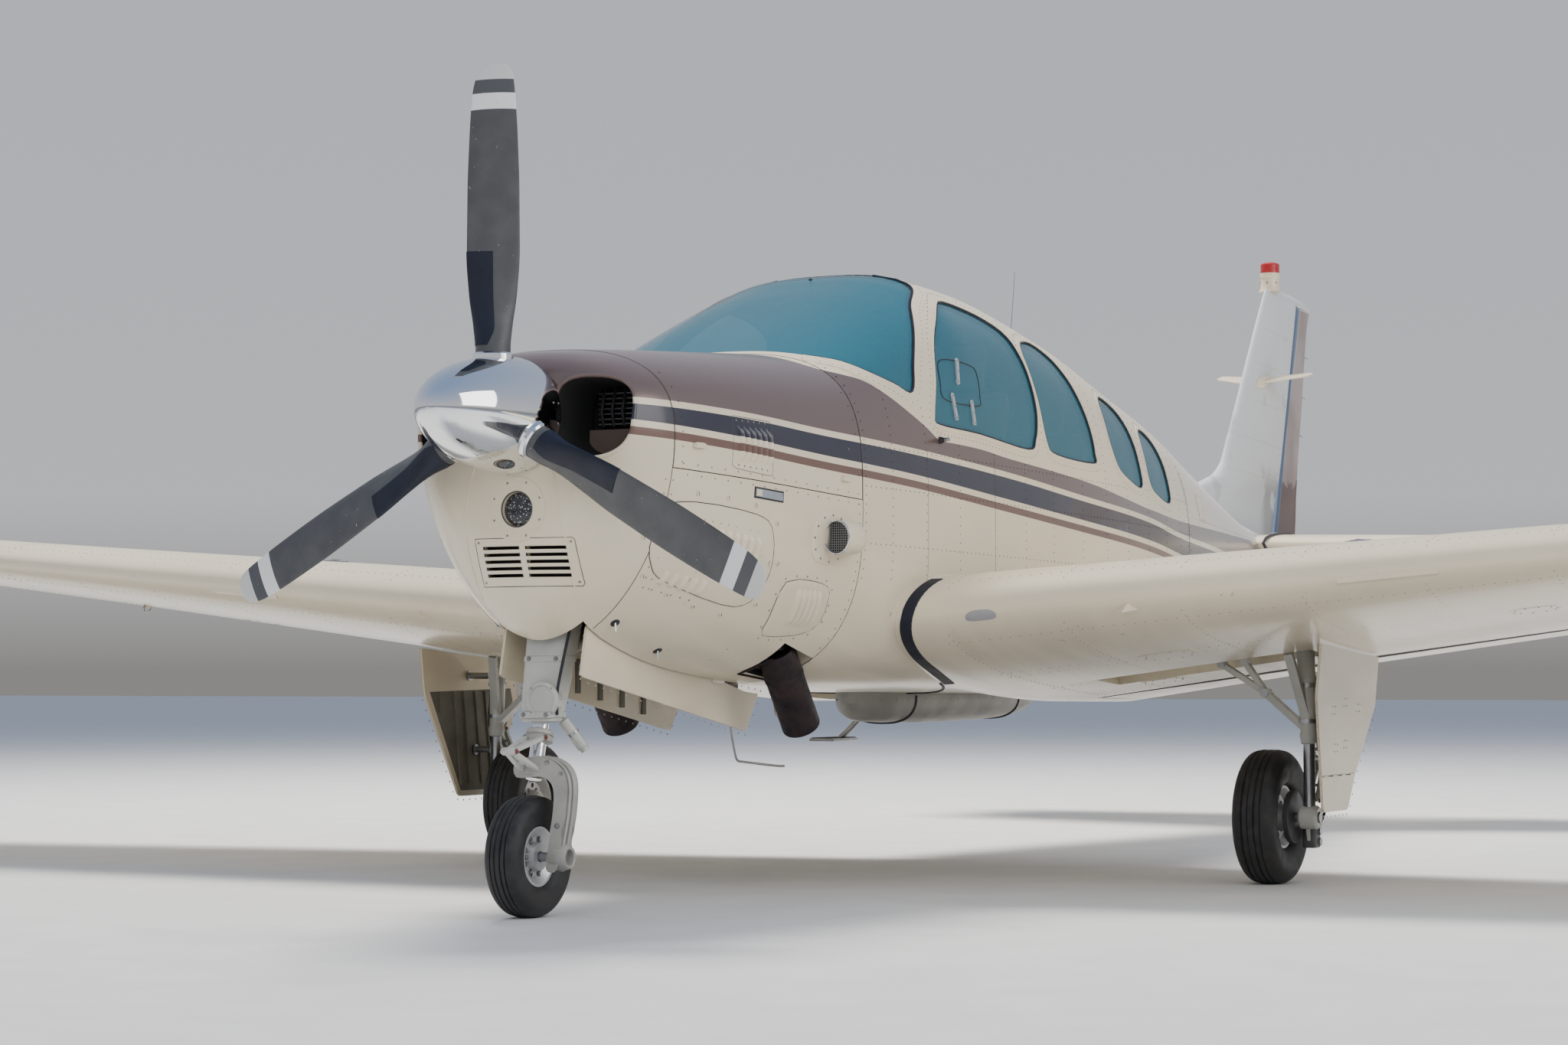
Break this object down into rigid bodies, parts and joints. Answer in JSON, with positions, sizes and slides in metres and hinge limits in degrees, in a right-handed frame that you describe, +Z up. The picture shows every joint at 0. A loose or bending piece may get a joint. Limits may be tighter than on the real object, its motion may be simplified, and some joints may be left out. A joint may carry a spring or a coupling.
{
  "type": "light aircraft",
  "caption": "Low-wing light aircraft with a glazed cabin, side doors, folding-leg wheels and a nose propeller, parked on its gear.",
  "frame": {"origin": "on the ground below the middle of the aircraft's length and span", "axes": "+X to the nose, +Y to the left wing tip, +Z up"},
  "size_m": [8.13, 10.21, 2.664],
  "materials": {
    "ivory_paint": "gloss",
    "taupe_paint": "gloss",
    "white_paint": "gloss",
    "engine_casting": "matte",
    "polished_metal": "polished",
    "blade_paint": "satin",
    "tinted_glazing": "gloss",
    "dark_trim": "matte",
    "seat_fabric": "matte",
    "gear_steel": "satin",
    "wheel_alloy": "satin",
    "tyre_rubber": "matte",
    "exhaust_steel": "matte",
    "grey_plastic": "satin",
    "red_lens": "gloss"
  },
  "bodies": {
    "airframe": {"nose_bowl": "taupe_paint", "cowl_lower": "ivory_paint", "cowl_hinge_strip": "taupe_paint", "engine": "engine_casting", "cabin_shell": "ivory_paint", "tail_cone": "ivory_paint", "windscreen": "tinted_glazing", "window_left_1": "tinted_glazing", "window_left_2": "tinted_glazing", "window_left_3": "tinted_glazing", "window_left_4": "tinted_glazing", "window_right_2": "tinted_glazing", "wing_left": "ivory_paint", "wing_right": "ivory_paint", "tailplane": "ivory_paint", "fin": "white_paint", "beacon": "red_lens", "instrument_panel": "dark_trim", "front_seats": "seat_fabric", "middle_seats": "seat_fabric", "rear_seats": "seat_fabric", "nose_leg": "gear_steel", "nose_gear_door_left": "ivory_paint", "nose_gear_door_right": "ivory_paint", "main_leg_left": "gear_steel", "main_leg_right": "gear_steel", "main_leg_door_left": "ivory_paint", "main_leg_door_right": "ivory_paint", "exhaust_left": "exhaust_steel", "exhaust_right": "exhaust_steel", "belly_fairing": "grey_plastic", "boarding_step": "gear_steel"},
    "propeller": {"spinner": "polished_metal", "propeller_blade_1": "blade_paint", "propeller_blade_2": "blade_paint", "propeller_blade_3": "blade_paint"},
    "nose_fork": {"nose_fork": "gear_steel"},
    "nose_wheel": {"nose_tyre": "tyre_rubber", "nose_rim": "wheel_alloy"},
    "main_wheel_left": {"main_tyre_left": "tyre_rubber", "main_rim_left": "wheel_alloy"},
    "main_wheel_right": {"main_tyre_right": "tyre_rubber", "main_rim_right": "wheel_alloy"},
    "aileron_left": {"aileron_left": "ivory_paint"},
    "aileron_right": {"aileron_right": "ivory_paint"},
    "flap_left": {"flap_left": "ivory_paint"},
    "flap_right": {"flap_right": "ivory_paint"},
    "elevator": {"elevator": "ivory_paint"},
    "rudder": {"rudder": "taupe_paint"},
    "cabin_door": {"cabin_door": "ivory_paint", "cabin_door_window": "tinted_glazing"},
    "cargo_door_front": {"cargo_door_front": "ivory_paint", "cargo_door_front_window": "tinted_glazing"},
    "cargo_door_rear": {"cargo_door_rear": "ivory_paint", "cargo_door_rear_window": "tinted_glazing"},
    "cowl_door_left": {"cowl_door_left": "taupe_paint"},
    "cowl_door_right": {"cowl_door_right": "taupe_paint"}
  },
  "joints": [
    {"name": "propeller_turn", "type": "hinge", "parent": "airframe", "child": "propeller", "pos_m": [3.718, 0, 1.462], "axis": [1, 0, 0], "continuous": true},
    {"name": "nose_steering", "type": "hinge", "parent": "airframe", "child": "nose_fork", "pos_m": [3.549, 0, 0.18], "axis": [-0.2585, 0, 0.966], "range_deg": [-30, 30]},
    {"name": "nose_wheel_turn", "type": "hinge", "parent": "nose_fork", "child": "nose_wheel", "pos_m": [3.515, 0, 0.178], "axis": [0, 1, 0], "continuous": true},
    {"name": "main_wheel_left_turn", "type": "hinge", "parent": "airframe", "child": "main_wheel_left", "pos_m": [1.13, 1.465, 0.225], "axis": [0, 1, 0], "continuous": true},
    {"name": "main_wheel_right_turn", "type": "hinge", "parent": "airframe", "child": "main_wheel_right", "pos_m": [1.13, -1.465, 0.225], "axis": [0, 1, 0], "continuous": true},
    {"name": "aileron_left_hinge", "type": "hinge", "parent": "airframe", "child": "aileron_left", "pos_m": [0.7728, 3.136, 1.0045], "axis": [0.0416, 0.9927, 0.1128], "range_deg": [-20, 20]},
    {"name": "aileron_right_hinge", "type": "hinge", "parent": "airframe", "child": "aileron_right", "pos_m": [0.7728, -3.136, 1.0045], "axis": [-0.0416, 0.9927, -0.1128], "range_deg": [-20, 20]},
    {"name": "flap_left_hinge", "type": "hinge", "parent": "airframe", "child": "flap_left", "pos_m": [0.6477, 0.668, 0.6478], "axis": [-0.0443, -0.9905, -0.1299], "range_deg": [0, 30]},
    {"name": "flap_right_hinge", "type": "hinge", "parent": "airframe", "child": "flap_right", "pos_m": [0.6477, -0.668, 0.6478], "axis": [0.0443, -0.9905, 0.1299], "range_deg": [0, 30]},
    {"name": "elevator_hinge", "type": "hinge", "parent": "airframe", "child": "elevator", "pos_m": [-3.515, 0, 1.285], "axis": [0, 1, 0], "range_deg": [-15, 25]},
    {"name": "rudder_hinge", "type": "hinge", "parent": "airframe", "child": "rudder", "pos_m": [-3.235, 0, 1.344], "axis": [-0.3274, 0, 0.9449], "range_deg": [-25, 25]},
    {"name": "cabin_door_hinge", "type": "hinge", "parent": "airframe", "child": "cabin_door", "pos_m": [2.015, -0.605, 1.3], "axis": [0, 0, 1], "range_deg": [0, 60]},
    {"name": "cargo_door_front_hinge", "type": "hinge", "parent": "airframe", "child": "cargo_door_front", "pos_m": [0.47, -0.611, 1.3], "axis": [0, 0, 1], "range_deg": [0, 90]},
    {"name": "cargo_door_rear_hinge", "type": "hinge", "parent": "airframe", "child": "cargo_door_rear", "pos_m": [-0.475, -0.5404, 1.3], "axis": [0, 0, -1], "range_deg": [0, 90]},
    {"name": "cowl_door_left_hinge", "type": "hinge", "parent": "airframe", "child": "cowl_door_left", "pos_m": [3.402, 0.068, 1.671], "axis": [0.9977, 0, -0.0681], "range_deg": [0, 75]},
    {"name": "cowl_door_right_hinge", "type": "hinge", "parent": "airframe", "child": "cowl_door_right", "pos_m": [3.402, -0.068, 1.671], "axis": [-0.9977, 0, 0.0681], "range_deg": [0, 75]}
  ],
  "couplings": [
    {"joint": "aileron_right_hinge", "follows": "aileron_left_hinge", "ratio": -1},
    {"joint": "flap_right_hinge", "follows": "flap_left_hinge", "ratio": 1}
  ]
}
